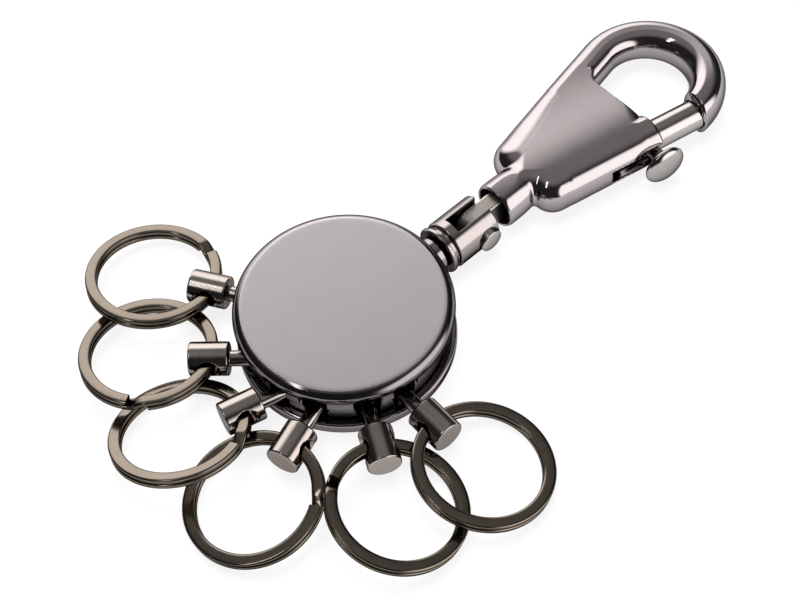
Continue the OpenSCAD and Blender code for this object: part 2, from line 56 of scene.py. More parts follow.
def makeCamera():
    data = bpy.data.cameras.new("photoCamera")
    data.sensor_width = 36
    data.sensor_fit = "HORIZONTAL"
    data.lens = camera["lens"]
    data.clip_start = 0.01
    data.clip_end = 10
    obj = bpy.data.objects.new("photoCamera", data)
    bpy.context.scene.collection.objects.link(obj)
    right = Vector(camera["right"]).normalized()
    up = Vector(camera["up"])
    up = (up - right * up.dot(right)).normalized()
    back = right.cross(up)
    turn = Matrix((right, up, back)).transposed()
    obj.matrix_world = Matrix.Translation(Vector(camera["place"]) * mm) @ turn.to_4x4()
    bpy.context.scene.camera = obj


makeCamera()


# Small helpers for shader trees
def addNode(tree, kind, **settings):
    node = tree.nodes.new(kind)
    for key, value in settings.items():
        setattr(node, key, value)
    return node


def mathNode(tree, operation, a, b=None, clamp=False):
    node = addNode(tree, "ShaderNodeMath", operation=operation, use_clamp=clamp)
    for socket, value in zip(node.inputs, (a, b)):
        if value is None:
            continue
        if isinstance(value, (int, float)):
            socket.default_value = value
        else:
            tree.links.new(value, socket)
    return node.outputs[0]


def rangeNode(tree, value, low, high, toLow, toHigh, kind="SMOOTHSTEP"):
    node = addNode(tree, "ShaderNodeMapRange", interpolation_type=kind)
    tree.links.new(value, node.inputs["Value"])
    for name, number in (("From Min", low), ("From Max", high), ("To Min", toLow), ("To Max", toHigh)):
        node.inputs[name].default_value = number
    return node.outputs[0]


# The studio: dark, with a white sweep ahead, a panel on the right, a faint glow overhead
# and a long bright strip high on the left
studio = {
    "base": 0.03,
    "lookAzimuth": 51.5,  # the way the camera looks, seen from above
    # azimuth from the look direction (left positive), elevation, inner and outer angle, strength
    "panels": [
        (12, 20, 17, 37, 2.3),
        (-120, 14, 26, 40, 2.2),
        (0, 72, 15, 50, 0.25),
    ],
    # the strip's two ends (azimuth, elevation), its inner and outer half width, strength
    "strip": ((80, 71), (126, 50), 1.6, 2.8, 5.0),
    "stripFade": 4,  # degrees over which the strip's ends fade
}


def direction(azimuth, elevation):
    a = radians(studio["lookAzimuth"] + azimuth)
    e = radians(elevation)
    return Vector((cos(a) * cos(e), sin(a) * cos(e), sin(e)))


def makeWorld():
    world = bpy.data.worlds.new("studioWorld")
    bpy.context.scene.world = world
    world.use_nodes = True
    tree = world.node_tree
    tree.nodes.clear()
    coords = addNode(tree, "ShaderNodeTexCoord")

    def towards(vector):
        dot = addNode(tree, "ShaderNodeVectorMath", operation="DOT_PRODUCT")
        tree.links.new(coords.outputs["Generated"], dot.inputs[0])
        dot.inputs[1].default_value = vector
        return dot.outputs["Value"]

    glow = None
    for azimuth, elevation, inner, outer, strength in studio["panels"]:
        facing = towards(direction(azimuth, elevation))
        panel = rangeNode(tree, facing, cos(radians(outer)), cos(radians(inner)), 0, strength)
        glow = panel if glow is None else mathNode(tree, "MAXIMUM", glow, panel)
    start, end, inner, outer, strength = studio["strip"]
    first, last = direction(*start), direction(*end)
    middle = (first + last).normalized()
    half = first.angle(last) / 2
    beside = mathNode(tree, "ABSOLUTE", towards(first.cross(last).normalized()))
    across = rangeNode(tree, beside, sin(radians(inner)), sin(radians(outer)), strength, 0)
    along = rangeNode(tree, towards(middle), cos(half + radians(studio["stripFade"])), cos(half), 0, 1)
    glow = mathNode(tree, "MAXIMUM", glow, mathNode(tree, "MULTIPLY", across, along))
    background = addNode(tree, "ShaderNodeBackground")
    background.inputs["Color"].default_value = (1, 0.97, 0.95, 1)
    tree.links.new(mathNode(tree, "ADD", glow, studio["base"]), background.inputs["Strength"])
    output = addNode(tree, "ShaderNodeOutputWorld")
    tree.links.new(background.outputs[0], output.inputs[0])


makeWorld()

# Floor and lamps
floorLook = {"size": 9.0, "drop": 0.00002, "shade": 0.93, "glow": 0.85}
lamps = [
    # name, azimuth, elevation, distance m, width m, height m, watts
    ("highSoftbox", 20, 74, 0.60, 0.50, 0.50, 6.0),
]


def makeFloor():
    half = floorLook["size"] / 2
    z = -floorLook["drop"]
    mesh = bpy.data.meshes.new("floor")
    corners = [(-half, -half, z), (half, -half, z), (half, half, z), (-half, half, z)]
    mesh.from_pydata(corners, [], [(0, 1, 2, 3)])
    floor = bpy.data.objects.new("floor", mesh)
    bpy.context.scene.collection.objects.link(floor)
    material = bpy.data.materials.new("paleFloor")
    material.use_nodes = True
    tree = material.node_tree
    tree.nodes.clear()
    diffuse = addNode(tree, "ShaderNodeBsdfDiffuse")
    diffuse.inputs["Color"].default_value = (floorLook["shade"],) * 3 + (1,)
    glow = addNode(tree, "ShaderNodeEmission")
    glow.inputs["Color"].default_value = (1, 1, 1, 1)
    glow.inputs["Strength"].default_value = 1
    path = addNode(tree, "ShaderNodeLightPath")
    seen = mathNode(tree, "MAXIMUM", path.outputs["Is Camera Ray"], path.outputs["Is Glossy Ray"])
    seen = mathNode(tree, "MAXIMUM", seen, path.outputs["Is Transmission Ray"])
    share = mathNode(tree, "MULTIPLY", seen, floorLook["glow"])
    mix = addNode(tree, "ShaderNodeMixShader")
    tree.links.new(share, mix.inputs[0])
    tree.links.new(diffuse.outputs[0], mix.inputs[1])
    tree.links.new(glow.outputs[0], mix.inputs[2])
    output = addNode(tree, "ShaderNodeOutputMaterial")
    tree.links.new(mix.outputs[0], output.inputs[0])
    mesh.materials.append(material)


def makeLamps():
    aim = Vector((0.02, 0, 0.005))
    for name, azimuth, elevation, distance, width, height, watts in lamps:
        data = bpy.data.lights.new(name, "AREA")
        data.shape = "RECTANGLE"
        data.size = width
        data.size_y = height
        data.energy = watts
        lamp = bpy.data.objects.new(name, data)
        lamp.visible_glossy = False  # the metal mirrors the studio's own panels
        bpy.context.scene.collection.objects.link(lamp)
        out = direction(azimuth, elevation)
        lamp.location = aim + out * distance
        lamp.rotation_euler = out.to_track_quat("Z", "Y").to_euler()


makeFloor()
makeLamps()
bpy.context.scene.view_settings.view_transform = "Standard"
print("studio ready")

# Finishes: light colour, dark colour, brightness seen edge on, share of colour kept on lower sides (painted
# shade), roughness, how far it wanders, bump
finishParts = ("light", "dark", "edge", "low", "rough", "wander", "bump")
finishes = {
    "hookPlate": ((0.46, 0.42, 0.43), (0.42, 0.38, 0.395), 0.25, 0.60, 0.10, 0.02, 0.008),
    "capFace": ((0.665, 0.64, 0.68), (0.62, 0.595, 0.64), 0.6, 1.0, 0.44, 0.03, 0.02),
    "capEdge": ((0.26, 0.235, 0.245), (0.22, 0.20, 0.21), 0.1, 0.12, 0.12, 0.02, 0.01),
    "housingPlate": ((0.36, 0.33, 0.335), (0.30, 0.27, 0.28), 0.15, 0.6, 0.13, 0.04, 0.02),
    "turnedPlate": ((0.44, 0.40, 0.37), (0.38, 0.34, 0.32), 0.15, 0.30, 0.14, 0.04, 0.03),
    "ringPlate": ((0.24, 0.205, 0.17), (0.18, 0.155, 0.13), 0.1, 0.35, 0.14, 0.04, 0.02),
    "clevisPlate": ((0.42, 0.38, 0.375), (0.36, 0.33, 0.325), 0.15, 0.35, 0.14, 0.05, 0.03),
    "brushedTongue": ((0.68, 0.63, 0.59), (0.58, 0.54, 0.50), 0.3, 0.35, 0.36, 0.05, 0.05),
    "brightNickel": ((0.49, 0.46, 0.45), (0.43, 0.405, 0.395), 0.2, 0.8, 0.16, 0.04, 0.02),
    "bareSteel": ((0.40, 0.39, 0.385), (0.34, 0.33, 0.33), 0.3, 0.6, 0.28, 0.06, 0.03),
    "springWire": ((0.40, 0.39, 0.39), (0.34, 0.33, 0.33), 0.3, 0.6, 0.22, 0.05, 0.02),
}
lineStretch = {
    "turned": (7.0, 0.35, 0.35),  # fine lines run round the X axis of the piece's own frame
    "spun": (0.5, 0.5, 0.5),
    "cast": (0.8, 0.8, 0.8),
}


# Grain of every finish: slow clouds and fine marks; and the rise between which lower sides get painted shade
grainAndPaintedShade = {
    "cloudScale": 0.22, "cloudDetail": 3, "fineScale": 3.2, "fineDetail": 4, "bumpDepth": 0.0002,
    "fullShadeRise": -0.1, "noShadeRise": 0.65,
}


def makeFinish(name, lines="cast"):
    look = dict(zip(finishParts, finishes[name]))
    material = bpy.data.materials.new(name + lines.capitalize())
    material.use_nodes = True
    tree = material.node_tree
    shader = tree.nodes["Principled BSDF"]
    shader.inputs["Metallic"].default_value = 1
    place = addNode(tree, "ShaderNodeAttribute", attribute_name="place")
    stretch = addNode(tree, "ShaderNodeVectorMath", operation="MULTIPLY")
    tree.links.new(place.outputs["Vector"], stretch.inputs[0])
    stretch.inputs[1].default_value = lineStretch[lines]
    cloud = addNode(tree, "ShaderNodeTexNoise")
    tree.links.new(place.outputs["Vector"], cloud.inputs["Vector"])
    cloud.inputs["Scale"].default_value = grainAndPaintedShade["cloudScale"]
    cloud.inputs["Detail"].default_value = grainAndPaintedShade["cloudDetail"]
    fine = addNode(tree, "ShaderNodeTexNoise")
    tree.links.new(stretch.outputs[0], fine.inputs["Vector"])
    fine.inputs["Scale"].default_value = grainAndPaintedShade["fineScale"]
    fine.inputs["Detail"].default_value = grainAndPaintedShade["fineDetail"]
    colour = addNode(tree, "ShaderNodeMix", data_type="RGBA")
    tree.links.new(cloud.outputs["Fac"], colour.inputs[0])
    colour.inputs[6].default_value = look["dark"] + (1,)
    colour.inputs[7].default_value = look["light"] + (1,)
    # painted shade: the colour is scaled down towards the finish's low share where the surface faces down,
    # standing in for darker reflections on lower sides
    shadeRise = addNode(tree, "ShaderNodeAttribute", attribute_name="shadeRise")
    paintedShadeShare = rangeNode(tree, shadeRise.outputs["Fac"], grainAndPaintedShade["fullShadeRise"], grainAndPaintedShade["noShadeRise"], look["low"], 1)
    shadedColour = addNode(tree, "ShaderNodeVectorMath", operation="SCALE")
    tree.links.new(colour.outputs[2], shadedColour.inputs[0])
    tree.links.new(paintedShadeShare, shadedColour.inputs["Scale"])
    tree.links.new(shadedColour.outputs[0], shader.inputs["Base Color"])
    shader.inputs["Specular Tint"].default_value = (look["edge"],) * 3 + (1,)
    blend = mathNode(tree, "ADD", mathNode(tree, "MULTIPLY", cloud.outputs["Fac"], 0.5),
                     mathNode(tree, "MULTIPLY", fine.outputs["Fac"], 0.5))
    low, high = look["rough"] - look["wander"], look["rough"] + look["wander"]
    tree.links.new(rangeNode(tree, blend, 0.3, 0.7, low, high), shader.inputs["Roughness"])
    bump = addNode(tree, "ShaderNodeBump")
    bump.inputs["Strength"].default_value = look["bump"]
    bump.inputs["Distance"].default_value = grainAndPaintedShade["bumpDepth"]
    tree.links.new(fine.outputs["Fac"], bump.inputs["Height"])
    tree.links.new(bump.outputs[0], shader.inputs["Normal"])
    return material


finish = {
    "hook": makeFinish("hookPlate"),
    "capFace": makeFinish("capFace", "spun"),
    "capEdge": makeFinish("capEdge", "spun"),
    "housing": makeFinish("housingPlate", "spun"),
    "plate": makeFinish("housingPlate", "cast"),
    "pin": makeFinish("turnedPlate", "turned"),
    "ring": makeFinish("ringPlate", "cast"),
    "clevis": makeFinish("clevisPlate", "turned"),
    "tongue": makeFinish("brushedTongue", "turned"),
    "bolt": makeFinish("brightNickel", "turned"),
    "bright": makeFinish("brightNickel", "spun"),
    "steel": makeFinish("bareSteel", "cast"),
    "wire": makeFinish("springWire", "cast"),
}
print("finishes ready")


# Mesh helpers: points in millimetres in the piece's own frame, then one matrix into the part's frame
def storePlace(mesh, points):
    attribute = mesh.attributes.new("place", "FLOAT_VECTOR", "POINT")
    attribute.data.foreach_set("vector", np.asarray(points, np.float32).ravel())


def storeShadeRise(mesh, axis=None):
    # how far each corner faces up, from 1 to -1, which sets the painted shade on lower sides; flat ends
    # across the axis count as tops and get none
    normals = np.zeros(len(mesh.loops) * 3, np.float32)
    mesh.corner_normals.foreach_get("vector", normals)
    normals = normals.reshape(-1, 3)
    shadeRise = normals[:, 2].copy()
    if axis:
        shadeRise[np.abs(normals @ np.array(axis)) > 0.93] = 1
    attribute = mesh.attributes.new("shadeRise", "FLOAT", "CORNER")
    attribute.data.foreach_set("value", shadeRise)


def addPiece(name, mesh, matrix, material, body, nodes, axis=None):
    points = np.zeros(len(mesh.vertices) * 3, np.float32)
    mesh.vertices.foreach_get("co", points)
    storePlace(mesh, points)
    mesh.transform(Matrix.Scale(mm, 4) @ matrix)
    mesh.update()
    # records how far each corner faces up, for the finish's painted shade on lower sides
    storeShadeRise(mesh, axis)
    for m in (material if isinstance(material, (list, tuple)) else [material]):
        mesh.materials.append(m)
    piece = bpy.data.objects.new(name, mesh)
    bpy.context.scene.collection.objects.link(piece)
    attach(piece, body)
    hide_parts(*nodes)
    return piece


def arcPoints(x, y, radius, start, stop, step):
    # points on a rounded edge, angles in degrees
    return [(x + radius * cos(a), y + radius * sin(a)) for a in np.radians(range(start, stop + 1, step))]


def latheMesh(name, profile, axis="Z", segments=128, sharp=35):
    # the profile runs from one pole or rim to the other, and closes on itself when it has no pole
    profile = [Vector(p) for p in profile]
    onAxis = [abs(p.x) < 1e-9 for p in profile]
    verts, index = [], []
    for p, pole in zip(profile, onAxis):
        if pole:
            index.append([len(verts)] * segments)
            verts.append((0, 0, p.y))
        else:
            index.append([len(verts) + k for k in range(segments)])
            for k in range(segments):
                a = 2 * pi * k / segments
                verts.append((p.x * cos(a), p.x * sin(a), p.y))
    faces = []
    count = len(profile)
    closed = not (onAxis[0] and onAxis[-1])
    for i in range(count if closed else count - 1):
        a, b = index[i], index[(i + 1) % count]
        for k in range(segments):
            n = (k + 1) % segments
            corners = [a[k], a[n], b[n], b[k]]
            corners = [c for j, c in enumerate(corners) if c != corners[j - 1]]
            if len(corners) > 2:
                faces.append(corners)
    if axis == "X":
        verts = [(z, x, y) for x, y, z in verts]
    mesh = bpy.data.meshes.new(name)
    mesh.from_pydata(verts, [], faces)
    orient(mesh)
    mesh.polygons.foreach_set("use_smooth", [True] * len(mesh.polygons))
    mesh.set_sharp_from_angle(angle=radians(sharp))
    return mesh


def orient(mesh):
    work = bmesh.new()
    work.from_mesh(mesh)
    bmesh.ops.recalc_face_normals(work, faces=work.faces)
    if work.calc_volume(signed=True) < 0:
        bmesh.ops.reverse_faces(work, faces=work.faces)
    work.to_mesh(mesh)
    work.free()


# Solid fields: negative inside, in millimetres. Smooth joints come from blending two fields
def joinField(a, b, k=0.0):
    if not k:
        return np.minimum(a, b)
    h = np.clip(0.5 + 0.5 * (b - a) / k, 0, 1)
    return b + (a - b) * h - k * h * (1 - h)


def meetField(a, b, k=0.0):
    return -joinField(-a, -b, k)


def cutField(a, b, k=0.0):
    return meetField(a, -b, k)


def rodField(x, y, z, x0, x1, r, k=0.0):
    return meetField(np.sqrt(y * y + z * z) - r, np.abs(x - (x0 + x1) / 2) - (x1 - x0) / 2, k)


def boxField(x, y, z, low, high, k=0.0):
    gaps = [np.abs(c - (a + b) / 2) - (b - a) / 2 for c, a, b in zip((x, y, z), low, high)]
    return meetField(meetField(gaps[0], gaps[1], k), gaps[2], k)


def bandField(r, z, r0, r1, z0, z1, k=0.0):
    # everything between two radii, or two places along a line, and between two heights
    return boxField(r, z, 0 * z, (r0, z0, -1), (r1, z1, 1), k)


# How a field is meshed: band kept beside the surface in cells, rounds of settling, and shares of a cell
meshing = {"band": 3, "settleRounds": 4, "settleStep": 0.2, "settleMove": 0.6, "normalStep": 0.5}


def fieldMesh(name, field, low, high, cell):
    # meshes the zero surface, then settles each point on it and takes its normal from the field
    low = np.array(low, float)
    counts = np.ceil((np.array(high, float) - low) / cell).astype(int) + 1
    axes = [low[i] + cell * np.arange(counts[i]) for i in range(3)]
    x, y, z = np.meshgrid(*axes, indexing="ij", sparse=False)
    band = meshing["band"] * cell
    values = np.clip(field(x, y, z), -band, band).astype(np.float32)
    grid = openvdb.FloatGrid(float(band))
    grid.copyFromArray(values)
    points, triangles, quads = grid.convertToPolygons(0.0, 0.0)
    points = points.astype(float) * cell + low
    step = cell * meshing["settleStep"]

    def slope(p):
        cols = []
        for i in range(3):
            d = np.zeros(3)
            d[i] = step
            cols.append((field(*(p + d).T) - field(*(p - d).T)) / (2 * step))
        return np.stack(cols, 1)

    for _ in range(meshing["settleRounds"]):
        g = slope(points)
        size = np.maximum((g * g).sum(1), 1e-4)
        move = (field(*points.T) / size)[:, None] * g
        length = np.sqrt((move * move).sum(1))[:, None]
        points = points - move * np.minimum(1, meshing["settleMove"] * cell / np.maximum(length, 1e-9))
    faces = [tuple(q) for q in quads] + [tuple(t) for t in triangles]
    mesh = bpy.data.meshes.new(name)
    mesh.from_pydata(points.tolist(), [], faces)
    orient(mesh)
    mesh.polygons.foreach_set("use_smooth", [True] * len(mesh.polygons))
    p = np.zeros(len(mesh.vertices) * 3)
    mesh.vertices.foreach_get("co", p)
    step = cell * meshing["normalStep"]
    g = slope(p.reshape(-1, 3))
    g /= np.maximum(np.sqrt((g * g).sum(1))[:, None], 1e-9)
    mesh.normals_split_custom_set_from_vertices(g.tolist())
    print("  meshed", name, len(points), "points")
    return mesh


jointOf = {j["name"]: j for j in frame["joints"]}


def jointPlace(name):
    return Vector(jointOf[name]["pos_m"]) / mm


# The disc: cover cap, notched housing with its boss, and the lower plate
disc = {
    "capRadius": 19.0, "capEdge": 1.9, "lipInset": 0.4, "faceMargin": 0.6, "satinMargin": 0.5,
    "discHeight": 11.5, "skirtTop": 9.2, "skirtBottom": 6.65, "cell": 0.24,
    "crownUnder": 9.5, "crownTop": 10.3, "skirtRadius": 18.5, "slotRadius": 17.5, "crownRadius": 17.8,
    "notchWidth": 4.7, "notchTop": 8.95, "plateRadius": 19.1, "plateRim": 2.4, "plateFloor": 0.8,
    "axisHeight": 4.65, "bossRadius": 3.3, "bossEnd": 21.2, "studRadius": 1.5, "rivetRadius": 2.0,
    "rivetSeat": 3.4, "hubRadius": 4.4, "headHeight": 1.2, "runGap": 0.05,
    "notchAngles": [119, 160, 189, 212, 241, 262.5], "bossGap": 0.1, "bossNotchStart": 14.9,
}


def makeCap():
    d = disc
    rim, top = d["capRadius"], d["discHeight"]
    outline = [
        (0, d["crownTop"]), (d["crownRadius"], d["crownTop"]), (d["crownRadius"], d["skirtTop"]),
        (rim - d["lipInset"], d["skirtTop"]),
    ]
    lip = d["lipInset"]
    outline += arcPoints(rim - lip, d["skirtTop"] + lip, lip, -75, 0, 15)
    edge = d["capEdge"]
    outline += arcPoints(rim - edge, top - edge, edge, 0, 90, 5)
    outline += [(rim - edge - d["faceMargin"], top), (0, top)]
    mesh = latheMesh("coverCap", outline, segments=192)
    for face in mesh.polygons:
        flat = face.normal.z > 0.97 and Vector(face.center[:2]).length < rim - edge + d["satinMargin"]
        face.material_index = 0 if flat else 1
    looks = [finish["capFace"], finish["capEdge"]]
    addPiece("coverCap", mesh, Matrix.Identity(4), looks, "disc", ["cover_cap"])


def makeHousing():
    d = disc

    def field(x, y, z):
        r = np.sqrt(x * x + y * y)
        wall = bandField(r, z, d["slotRadius"], d["skirtRadius"], d["skirtBottom"], d["skirtTop"], 0.25)
        crown = bandField(r, z, -1, d["crownRadius"], d["crownUnder"], d["crownTop"], 0.1)
        collar = bandField(r, z, d["slotRadius"], d["crownRadius"], d["skirtTop"] - 0.5, d["crownTop"], 0.1)
        shape = joinField(joinField(wall, crown), collar)
        boss = rodField(x, y, z - d["axisHeight"], d["slotRadius"] - 4, d["bossEnd"], d["bossRadius"], 0.3)
        boss = meetField(boss, z - d["skirtTop"], 0.1)
        boss = cutField(boss, r - d["slotRadius"])
        shape = joinField(shape, boss, 0.4)
        for angle in np.radians(d["notchAngles"]):
            along = x * cos(angle) + y * sin(angle)
            across = -x * sin(angle) + y * cos(angle)
            notch = boxField(along, across, z, (d["slotRadius"] - 3, -d["notchWidth"] / 2, 0),
                             (30, d["notchWidth"] / 2, d["notchTop"]), 0.5)
            shape = cutField(shape, notch, 0.2)
        shape = cutField(shape, rodField(x, y, z - d["axisHeight"], 0, 30, d["studRadius"]), 0.1)
        return cutField(shape, r - d["rivetRadius"], 0.1)

    mesh = fieldMesh("notchedHousing", field, (-19.4, -19.4, -0.4), (21.9, 19.4, 10.9), d["cell"])
    addPiece("notchedHousing", mesh, Matrix.Identity(4), finish["housing"], "disc",
             ["notched_housing"])


def makePlate():
    d = disc

    def field(x, y, z):
        r = np.sqrt(x * x + y * y)
        dish = bandField(r, z, -1, d["plateRadius"], 0, d["plateRim"], 0.6)
        well = bandField(r, z, -1, d["slotRadius"] + 0.1, d["plateFloor"], 9, 0.3)
        hub = bandField(r, z, -1, d["hubRadius"], 0.1, d["plateRim"], 0.2)
        shape = joinField(cutField(dish, well, 0.25), hub, 0.2)
        shape = cutField(shape, bandField(r, z, -1, d["rivetSeat"], -5, d["headHeight"]), 0.15)
        shape = cutField(shape, r - d["rivetRadius"] - d["runGap"])
        half = d["bossRadius"] + d["bossGap"]
        return cutField(shape, boxField(x, y, z, (d["bossNotchStart"], -half, -5), (30, half, 9), 0.3), 0.2)

    mesh = fieldMesh("releasePlate", field, (-19.6, -19.6, -0.4), (19.6, 19.6, 2.9), d["cell"])
    addPiece("releasePlate", mesh, Matrix.Identity(4), finish["plate"], "plate",
             ["release_plate"])


makeCap()
makeHousing()
makePlate()
print("disc made")

# The pull-out pins: one shape, set six times
pinShape = {
    "barrelRadius": 2.95, "barrelLength": 6.9, "bevel": 0.4, "stemRadius": 1.375, "headRadius": 2.2,
    "headThick": 1.2, "headBack": 1.9, "reach": 7.8, "play": 0.9, "holeRadius": 1.75, "holeBevel": 0.35,
    "cell": 0.15,
}
pinPose = {
    "headings": [121.5, 137, 165.5, 199.5, 242.5, 268.5],
    "pushShares": [0.25, 1, 0.9, 0, 0.1, 0.05],
    "ringHeadings": [120, 129, 157.9, 192, 243.7, 275.5],
    "ringDips": [0.5, 1.5, 0, 7.5, 2.5, 6],
    "ringRolls": [9.5, 9, 17.2, 7.8, -15.4, -10],
    "ringTurns": [-127, 95, 143, 119, -116, 180],
}


def pinField(x, y, z):
    d = pinShape
    mid, half = d["reach"], d["barrelLength"] / 2
    barrel = rodField(x, y, z, mid - half, mid + half, d["barrelRadius"], d["bevel"])
    stem = rodField(x, y, z, -d["headBack"] - 0.5, mid - half + 0.5, d["stemRadius"])
    head = rodField(x, y, z, -d["headBack"] - d["headThick"], -d["headBack"], d["headRadius"], 0.3)
    shape = joinField(joinField(barrel, stem, 0.15), head, 0.1)
    across = np.sqrt((x - mid) ** 2 + z * z)
    sink = across - d["holeRadius"] - np.maximum(0, np.abs(y) - (d["barrelRadius"] - d["holeBevel"] - 0.15))
    return cutField(shape, sink, 0.12)


def makePins():
    base = fieldMesh("pin", pinField, (-4, -3.3, -3.3), (11.8, 3.3, 3.3), pinShape["cell"])
    for i in range(6):
        push = pinShape["play"] * pinPose["pushShares"][i]
        place = (Matrix.Translation(jointPlace(f"pin_{i + 1}_swing"))
                 @ Matrix.Rotation(radians(pinPose["headings"][i]), 4, "Z")
                 @ Matrix.Translation((-push, 0, 0))
                 @ Matrix.Rotation(radians(pinPose["ringRolls"][i]), 4, "X"))
        along = place.to_3x3() @ Vector((1, 0, 0))
        node = f"pin_{i + 1}"
        addPiece(f"pin{i + 1}", base.copy(), place, finish["pin"], node, [node], along)


makePins()
print("pins made")

# The split rings: two turns of bevelled wire swept along a path by geometry nodes
ringShape = {
    "diameter": 24.0, "wireWidth": 2.1, "wireThick": 1.05, "squareness": 0.55, "crossLength": 2.8,
    "endGap": 0.5, "samples": 260, "sectionPoints": 40,
}


def link(tree, output, socket):
    tree.links.new(output, socket)


def windingTree(name, inputs, material):
    # two flat turns with one slanting change between them
    tree = bpy.data.node_groups.new(name, "GeometryNodeTree")
    tree.interface.new_socket("Geometry", in_out="INPUT", socket_type="NodeSocketGeometry")
    tree.interface.new_socket("Geometry", in_out="OUTPUT", socket_type="NodeSocketGeometry")
    for key, value in inputs.items():
        kind = "NodeSocketInt" if isinstance(value, int) else "NodeSocketFloat"
        socket = tree.interface.new_socket(key, in_out="INPUT", socket_type=kind)
        socket.default_value = value
    source = tree.nodes.new("NodeGroupInput").outputs

    def times(a, b):
        return mathNode(tree, "MULTIPLY", a, b)

    line = tree.nodes.new("GeometryNodeCurvePrimitiveLine")
    line.inputs["End"].default_value = (0, 0, 1)
    resample = tree.nodes.new("GeometryNodeResampleCurve")
    link(tree, line.outputs[0], resample.inputs["Curve"])
    link(tree, source["Samples"], resample.inputs["Count"])
    factor = tree.nodes.new("GeometryNodeSplineParameter").outputs["Factor"]
    # the angle runs from the first end to the second, almost two full turns
    total = mathNode(tree, "SUBTRACT", 4 * pi, source["End Angle"])
    angle = mathNode(tree, "ADD", times(factor, total), times(source["End Angle"], 0.5))
    span = times(source["Cross Angle"], 0.5)
    climb = tree.nodes.new("ShaderNodeMapRange")
    climb.interpolation_type = "SMOOTHSTEP"
    link(tree, angle, climb.inputs["Value"])
    link(tree, mathNode(tree, "SUBTRACT", 2 * pi, span), climb.inputs["From Min"])
    link(tree, mathNode(tree, "ADD", span, 2 * pi), climb.inputs["From Max"])
    half = times(source["Thickness"], 0.5)
    link(tree, times(half, -1), climb.inputs["To Min"])
    link(tree, half, climb.inputs["To Max"])
    combine = tree.nodes.new("ShaderNodeCombineXYZ")
    link(tree, times(mathNode(tree, "COSINE", angle), source["Radius"]), combine.inputs[0])
    link(tree, times(mathNode(tree, "SINE", angle), source["Radius"]), combine.inputs[1])
    link(tree, climb.outputs[0], combine.inputs[2])
    move = tree.nodes.new("GeometryNodeSetPosition")
    link(tree, resample.outputs[0], move.inputs["Geometry"])
    link(tree, combine.outputs[0], move.inputs["Position"])
    upright = tree.nodes.new("GeometryNodeSetCurveNormal")
    upright.mode = "Z_UP"
    link(tree, move.outputs[0], upright.inputs["Curve"])
    # the wire's section is a rectangle with a crown and soft corners
    circle = tree.nodes.new("GeometryNodeCurvePrimitiveCircle")
    circle.inputs["Resolution"].default_value = ringShape["sectionPoints"]
    circle.inputs["Radius"].default_value = 1
    place = tree.nodes.new("GeometryNodeInputPosition")
    parts = tree.nodes.new("ShaderNodeSeparateXYZ")
    link(tree, place.outputs[0], parts.inputs[0])
    section = tree.nodes.new("ShaderNodeCombineXYZ")
    for index, size in ((0, "Width"), (1, "Thickness")):
        far = mathNode(tree, "ABSOLUTE", parts.outputs[index])
        share = mathNode(tree, "POWER", far, source["Squareness"])
        share = times(share, mathNode(tree, "SIGN", parts.outputs[index]))
        link(tree, times(times(share, source[size]), 0.5), section.inputs[index])
    shaped = tree.nodes.new("GeometryNodeSetPosition")
    link(tree, circle.outputs[0], shaped.inputs["Geometry"])
    link(tree, section.outputs[0], shaped.inputs["Position"])
    sweep = tree.nodes.new("GeometryNodeCurveToMesh")
    sweep.inputs["Fill Caps"].default_value = True
    link(tree, upright.outputs[0], sweep.inputs["Curve"])
    link(tree, shaped.outputs[0], sweep.inputs["Profile Curve"])
    realize = tree.nodes.new("GeometryNodeRealizeInstances")
    link(tree, sweep.outputs[0], realize.inputs[0])
    paint = tree.nodes.new("GeometryNodeSetMaterial")
    paint.inputs["Material"].default_value = material
    link(tree, realize.outputs[0], paint.inputs["Geometry"])
    output = tree.nodes.new("NodeGroupOutput")
    link(tree, paint.outputs[0], output.inputs[0])
    return tree


def meshFromTree(name, tree, values):
    # runs the tree on an empty mesh and returns the result as a plain one
    holder = bpy.data.objects.new(name + "Holder", bpy.data.meshes.new(name + "Holder"))
    bpy.context.scene.collection.objects.link(holder)
    modifier = holder.modifiers.new("winding", "NODES")
    modifier.node_group = tree
    for item in tree.interface.items_tree:
        if item.in_out == "INPUT" and item.name in values:
            modifier[item.identifier] = values[item.name]
    bpy.context.view_layer.update()
    evaluated = holder.evaluated_get(bpy.context.evaluated_depsgraph_get())
    mesh = bpy.data.meshes.new_from_object(evaluated)
    mesh.name = name
    bpy.data.objects.remove(holder)
    return mesh


def makeRings():
    d = ringShape
    radius = (d["diameter"] - d["wireWidth"]) / 2
    inputs = {
        "Samples": d["samples"], "Radius": radius, "Width": d["wireWidth"], "Thickness": d["wireThick"],
        "Squareness": d["squareness"], "Cross Angle": d["crossLength"] / radius,
        "End Angle": (d["crossLength"] + d["endGap"]) / radius,
    }
    tree = windingTree("splitRingWinding", inputs, finish["ring"])
    base = meshFromTree("splitRing", tree, inputs)
    base.materials.clear()
    orient(base)
    base.polygons.foreach_set("use_smooth", [True] * len(base.polygons))
    base.set_sharp_from_angle(angle=radians(50))
    sag = radius - sqrt(radius ** 2 - pinShape["barrelRadius"] ** 2)
    for i in range(6):
        reach = pinShape["reach"] - pinShape["play"] * pinPose["pushShares"][i]
        heading = radians(pinPose["headings"][i])
        hole = jointPlace(f"pin_{i + 1}_swing") + Vector((cos(heading), sin(heading), 0)) * reach
        place = (Matrix.Translation(hole)
                 @ Matrix.Rotation(radians(pinPose["ringHeadings"][i]), 4, "Z")
                 @ Matrix.Rotation(radians(pinPose["ringRolls"][i]), 4, "X")
                 @ Matrix.Rotation(radians(pinPose["ringDips"][i]), 4, "Y")
                 @ Matrix.Translation((radius - sag / 2, 0, 0))
                 @ Matrix.Rotation(radians(pinPose["ringTurns"][i]), 4, "Z"))
        node = f"ring_{i + 1}"
        addPiece(f"splitRing{i + 1}", base.copy(), place, finish["ring"], node, [node])


makeRings()
print("rings made")

